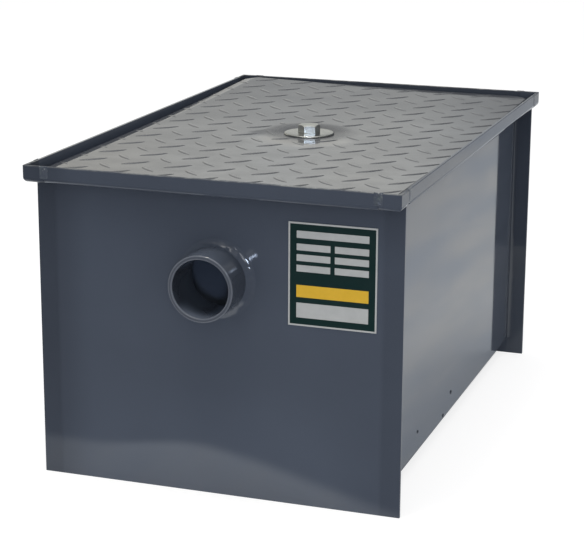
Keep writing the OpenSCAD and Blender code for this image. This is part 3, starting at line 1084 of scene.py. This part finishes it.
def spatter(y, z, size):
    """A drop of weld spatter on the right side wall."""
    rows = []
    for share, height in DROP_PROFILE:
        row = []
        for u, v in circle(1.0, DROP_STEPS):
            r = size * share * (1 + 0.25 * lumps(u, v, y, 0.9))
            row.append((TANK_X + height * DROP_H * size, y + r * u, z + 0.8 * r * v))
        rows.append(row)
    verts, faces = grid(rows, wrap_cols=True)
    faces += [tuple(range(DROP_STEPS)), tuple(range(len(verts) - DROP_STEPS, len(verts)))]
    return verts, faces


def rim_bead(across, out, x, y, crown):
    """Rough dressed bead of the given height over one seam of the rim, lapping the lip's top edge."""
    rows = []
    for i in range(RIM_BEAD_STEPS + 1):
        z = RIM_BEAD_LOW + (RIM_BEAD_HIGH - RIM_BEAD_LOW) * i / RIM_BEAD_STEPS
        ends = smooth((z - RIM_BEAD_LOW) / 1.5) * smooth((RIM_BEAD_HIGH - z) / 1.0)
        row = []
        for k in range(RIM_BEAD_COLS + 1):
            s = 2 * k / RIM_BEAD_COLS - 1
            px, py = x + across[0] * RIM_BEAD_HALF_W * s, y + across[1] * RIM_BEAD_HALF_W * s
            rough = 0.75 + 0.55 * lumps(px, py, z, 2.6) + 0.35 * lumps(px, py, z, 1.2)
            rise = max(0.0, crown * (1 - s * s) * rough * ends) - 0.05
            row.append((px + out[0] * rise, py + out[1] * rise, z))
        rows.append(row)
    sink_x, sink_y = out[0] * RIM_BEAD_SINK, out[1] * RIM_BEAD_SINK
    back = [[(px - sink_x, py - sink_y, z) for px, py, z in row] for row in rows]
    verts, faces = merge([grid(rows), grid(back)])
    faces += skirt(grid_border(RIM_BEAD_COLS + 1, RIM_BEAD_STEPS + 1), len(verts) // 2)
    return verts, faces


def build_seams():
    """The upright fillets with the spatter, and the beads over the rim's eight seams."""
    quarters = [(sx, sy) for sx in (-1, 1) for sy in (-1, 1)]
    verts, faces = merge([wall_bead(sx, sy) for sx, sy in quarters] + [spatter(*drop) for drop in SPATTER])
    add_piece("wall_beads", verts, faces, [seam_paint], "tank", ["wall_seam_welds"], sharp=70.0)
    parts = []
    for sx, sy in quarters:
        parts.append(rim_bead((1, 0), (0, sy), sx * TANK_X, sy * LIP_Y, END_CROWN))
        parts.append(rim_bead((0, 1), (sx, 0), sx * LIP_X, sy * WALL_Y, SIDE_CROWN))
    verts, faces = merge(parts)
    add_piece("rim_beads", verts, faces, [scar_paint], "tank", ["rim_seam_welds"], sharp=70.0)


build_seams()


# Rating plate, without words
LABEL_RIM = 1.5
LABEL_MARGIN = 7.5
# Bottom of the heading below the top, and the amber band and top of the lowest field above the bottom
LABEL_HEAD = 14.0
LABEL_BAND = (26.0, 37.0)
LABEL_FOOT = 21.0
LABEL_ROWS = 3
LABEL_ROW_TOP = 19.0
LABEL_ROW_STEP = 9.5
LABEL_ROW_H = 6.0
LABEL_HALF_GAP = 2.0


def label_fields():
    """Left, right, bottom, top and ink of each printed field. A later one lies over those before it."""
    (x0, x1), (z0, z1) = LABEL_X, LABEL_Z
    left, right = x0 + LABEL_MARGIN, x1 - LABEL_MARGIN
    middle = (left + right) / 2
    fields = [
        (x0, x1, z0, z1, WHITE),
        (x0 + LABEL_RIM, x1 - LABEL_RIM, z0 + LABEL_RIM, z1 - LABEL_RIM, GREEN),
        (left, right, z1 - LABEL_HEAD, z1 - LABEL_MARGIN, WHITE),
        (left, right, z0 + LABEL_BAND[0], z0 + LABEL_BAND[1], AMBER),
        (left, right, z0 + LABEL_MARGIN, z0 + LABEL_FOOT, WHITE),
    ]
    for k in range(LABEL_ROWS):
        top = z1 - LABEL_ROW_TOP - LABEL_ROW_STEP * k
        fields.append((left, middle - LABEL_HALF_GAP, top - LABEL_ROW_H, top, WHITE))
        fields.append((middle + LABEL_HALF_GAP, right, top - LABEL_ROW_H, top, WHITE))
    return fields


def build_label():
    """A blank printed plate: green field, pale border, empty fields and one amber band."""
    fields = label_fields()
    xs = sorted({v for f in fields for v in f[:2]})
    zs = sorted({v for f in fields for v in f[2:4]})
    front = [[(x, -END_Y - LABEL_T, z) for x in xs] for z in zs]
    verts, faces = grid(front)
    inks = []
    for z0, z1 in zip(zs, zs[1:]):
        for x0, x1 in zip(xs, xs[1:]):
            cx, cz = (x0 + x1) / 2, (z0 + z1) / 2
            inks.append([f[4] for f in fields if f[0] < cx < f[1] and f[2] < cz < f[3]][-1])
    count = len(verts)
    verts += [(x, -END_Y, z) for x, _, z in verts]
    border = grid_border(len(xs), len(zs))
    faces += skirt(border, count)
    faces.append(tuple(count + k for k in reversed(border)))
    inks += [WHITE] * (len(border) + 1)
    add_piece(
        "blank_plate", verts, faces, label_inks, "tank", ["rating_plate"],
        sharp=30.0, face_inks=inks,
    )


build_label()


# The frame's own nodes
EASE_W = 0.45
EASE_ANGLE = 50


def dress(name, material):
    """Gives a node of the frame its paint, and eases its sharp edges."""
    node = nodes[name]
    node.data.materials.clear()
    node.data.materials.append(material)
    weld = node.modifiers.new("join", "WELD")
    weld.merge_threshold = 1e-6
    soft = node.modifiers.new("ease", "BEVEL")
    soft.width = EASE_W * MM
    soft.segments = 2
    soft.limit_method = "ANGLE"
    soft.angle_limit = math.radians(EASE_ANGLE)
    soft.harden_normals = True
    soft.use_clamp_overlap = False


dress("tank_shell", wall_paint)
for end in ("front", "rear"):
    dress(f"{end}_end_plate", plate_paint)
    for side in ("left", "right"):
        dress(f"corner_{end}_{side}", corner_paint)
dress("hold_down_bar", inside_paint)
for chamber in ("inlet", "centre", "outlet"):
    for kind in ("baffle", "rails_left", "rails_right"):
        dress(f"{chamber}_{kind}", inside_paint)


# Floor, light and camera
FLOOR_HALF = 30.0
# Where the pale sheet that reflections see ends in front of the trap, and its soft edge
SHEET_Y = -0.372
SHEET_EDGE = (-0.022, 0.012)
CAMERA_AT = (0.56787, -1.69862, 0.62497)
CAMERA_YAW = 19.011
CAMERA_PITCH = 14.880
CAMERA_ROLL = 0.311
CAMERA_LENS = 112.02
CAMERA_SENSOR = 36.0


def floor_material():
    """Pale floor. In reflections it is a streaked sheet, ending just in front of the trap and glowing there
    as painted light.
    """
    material = bpy.data.materials.new("floor")
    material.use_nodes = True
    tree = material.node_tree
    tree.nodes.clear()
    place = tree.nodes.new("ShaderNodeTexCoord").outputs["Object"]
    axes = axes_of(tree, place)
    path = tree.nodes.new("ShaderNodeLightPath").outputs
    bend_right = ramp(tree, axes["X"], -0.12, 0.30, 0.0, 0.15)
    bend_left = ramp(tree, axes["X"], -0.165, -0.055, 0.034, 0.0)
    bend = math_node(tree, "ADD", bend_right, bend_left)
    ahead = math_node(tree, "SUBTRACT", math_node(tree, "SUBTRACT", axes["Y"], SHEET_Y), bend)
    sheet = ramp(tree, ahead, *SHEET_EDGE)
    streak = noise_at(tree, place, 1.0, 3.0, 0.55, (13.0, 2.2, 1.0))
    pale = mix_colour(tree, ramp(tree, streak, 0.3, 0.7), (0.73, 0.79, 0.86, 1), (0.94, 0.95, 0.93, 1))
    left = ramp(tree, axes["X"], -0.185, -0.115, 0.62, 1.0)
    level = product(
        tree,
        ramp(tree, axes["X"], 0.43, 0.56, 1.0, 0.78),
        ramp(tree, axes["Y"], 0.2, 0.7, 1.0, 0.92),
        math_node(tree, "MAXIMUM", left, ramp(tree, axes["Y"], -0.26, -0.20)),
    )
    pale = mix_colour(tree, level, grey(0), pale)
    seen = mix_colour(tree, sheet, (0.05, 0.05, 0.06, 1), pale)
    colour = mix_colour(tree, path["Is Glossy Ray"], grey(0.90), seen)
    colour = mix_colour(tree, path["Is Camera Ray"], colour, grey(0.32))
    diffuse = add_node(tree, "ShaderNodeBsdfDiffuse", {"Color": colour})
    # Painted light: a faint glow of the sheet just in front of the trap, seen only in reflections
    front = product(
        tree,
        sheet,
        ramp(tree, axes["Y"], -0.24, -0.16, 0.17, 0.0),
        ramp(tree, axes["X"], -0.18, -0.06, 0.25, 1.0),
        path["Is Glossy Ray"],
    )
    strength = math_node(tree, "MULTIPLY_ADD", path["Is Camera Ray"], 0.79, front)
    lift = add_node(tree, "ShaderNodeEmission", {"Strength": strength})
    both = add_node(tree, "ShaderNodeAddShader", {0: diffuse.outputs[0], 1: lift.outputs[0]})
    add_node(tree, "ShaderNodeOutputMaterial", {"Surface": both.outputs[0]})
    return material


def build_floor():
    """A wide flat floor under the trap."""
    mesh = bpy.data.meshes.new("floor")
    corners = [(FLOOR_HALF * x, FLOOR_HALF * y, 0) for x, y in ((-1, -1), (1, -1), (1, 1), (-1, 1))]
    mesh.from_pydata(corners, [], [(0, 1, 2, 3)])
    mesh.materials.append(floor_material())
    floor = bpy.data.objects.new("floor", mesh)
    scene.collection.objects.link(floor)


def build_world():
    """Soft even light. Reflections see a bright panel behind on the left and a dim room elsewhere."""
    world = bpy.data.worlds.new("studio")
    scene.world = world
    world.use_nodes = True
    tree = world.node_tree
    tree.nodes.clear()
    direction = tree.nodes.new("ShaderNodeTexCoord").outputs["Generated"]
    axes = axes_of(tree, direction)
    path = tree.nodes.new("ShaderNodeLightPath").outputs
    azimuth = math_node(tree, "ARCTAN2", axes["X"], axes["Y"])
    height = math_node(tree, "MULTIPLY_ADD", math_node(tree, "ADD", azimuth, 0.35), 0.14, axes["Z"])
    low_part = ramp(tree, height, 0.177, 0.228, 1.14, 0.355)
    high_part = ramp(tree, axes["Z"], 0.25, 0.36, 0.0, 0.14)
    panel = product(
        tree,
        ramp(tree, azimuth, -1.6, -1.2),
        ramp(tree, azimuth, -0.27, -0.14, 1.0, 0.0),
        math_node(tree, "ADD", low_part, high_part),
        ramp(tree, axes["Z"], 0.09, 0.215, 0.45, 1.0),
        ramp(tree, azimuth, -0.46, -0.31, 0.80, 1.0),
    )
    cloud = noise_at(tree, direction, 1.0, 2.0, 0.5, (6.0, 6.0, 9.0))
    warm_side = ramp(tree, azimuth, -0.44, -0.34, 0.4, 0.0)
    warm = math_node(tree, "MULTIPLY_ADD", ramp(tree, cloud, 0.35, 0.75), 0.5, warm_side)
    tint = mix_colour(tree, warm, (0.90, 0.935, 0.945, 1), (1.10, 1.02, 0.84, 1))
    lit = mix_colour(tree, panel, (0.10, 0.105, 0.115, 1), tint)
    lit = mix_colour(tree, ramp(tree, axes["Z"], 0.55, 0.9), lit, (0.55, 0.545, 0.53, 1))
    colour = mix_colour(tree, path["Is Glossy Ray"], (0.62, 0.62, 0.63, 1), lit)
    colour = mix_colour(tree, path["Is Camera Ray"], colour, grey(1))
    back = add_node(tree, "ShaderNodeBackground", {"Color": colour})
    add_node(tree, "ShaderNodeOutputWorld", {"Surface": back.outputs[0]})


def add_lamp(name, place, target, size, watts, colour):
    """A round soft lamp, aimed at a target."""
    data = bpy.data.lights.new(name, "AREA")
    data.shape = "DISK"
    data.size = size
    data.energy = watts
    data.color = colour
    lamp = bpy.data.objects.new(name, data)
    lamp.location = place
    lamp.rotation_mode = "QUATERNION"
    lamp.rotation_quaternion = (Vector(target) - Vector(place)).to_track_quat("-Z", "Y")
    scene.collection.objects.link(lamp)


def build_camera():
    """The photograph's own viewpoint, solved from the straight edges of the trap."""
    yaw, pitch, roll = (math.radians(a) for a in (CAMERA_YAW, CAMERA_PITCH, CAMERA_ROLL))
    ahead = Vector((-math.sin(yaw) * math.cos(pitch), math.cos(yaw) * math.cos(pitch), -math.sin(pitch)))
    right = Vector((math.cos(yaw), math.sin(yaw), 0))
    up = right.cross(ahead)
    side = math.cos(roll) * right + math.sin(roll) * up
    top = math.cos(roll) * up - math.sin(roll) * right
    data = bpy.data.cameras.new("camera")
    data.sensor_width = CAMERA_SENSOR
    data.lens = CAMERA_LENS
    data.clip_start = 0.05
    data.clip_end = 100.0
    camera = bpy.data.objects.new("camera", data)
    turn = Matrix((side, top, -ahead)).transposed()
    camera.matrix_world = Matrix.Translation(CAMERA_AT) @ turn.to_4x4()
    scene.collection.objects.link(camera)
    scene.camera = camera


build_floor()
build_world()
add_lamp("ceiling", (0.1, -0.3, 2.4), (0, -0.1, 0.1), 2.2, 22.0, (1.0, 0.98, 0.95))
add_lamp("bulb", (-0.12, -0.70, 2.1), (0, -0.3, 0.2), 0.26, 6.0, (1.0, 0.93, 0.80))
add_lamp("window", (0.93, -2.66, 0.70), (0, -0.25, 0.22), 0.20, 7.5, (0.66, 0.78, 1.0))
add_lamp("fill", (0.98, -2.40, 1.14), (0, -0.25, 0.2), 0.80, 4.0, (0.95, 0.97, 1.0))
build_camera()
scene.view_settings.view_transform = "Standard"
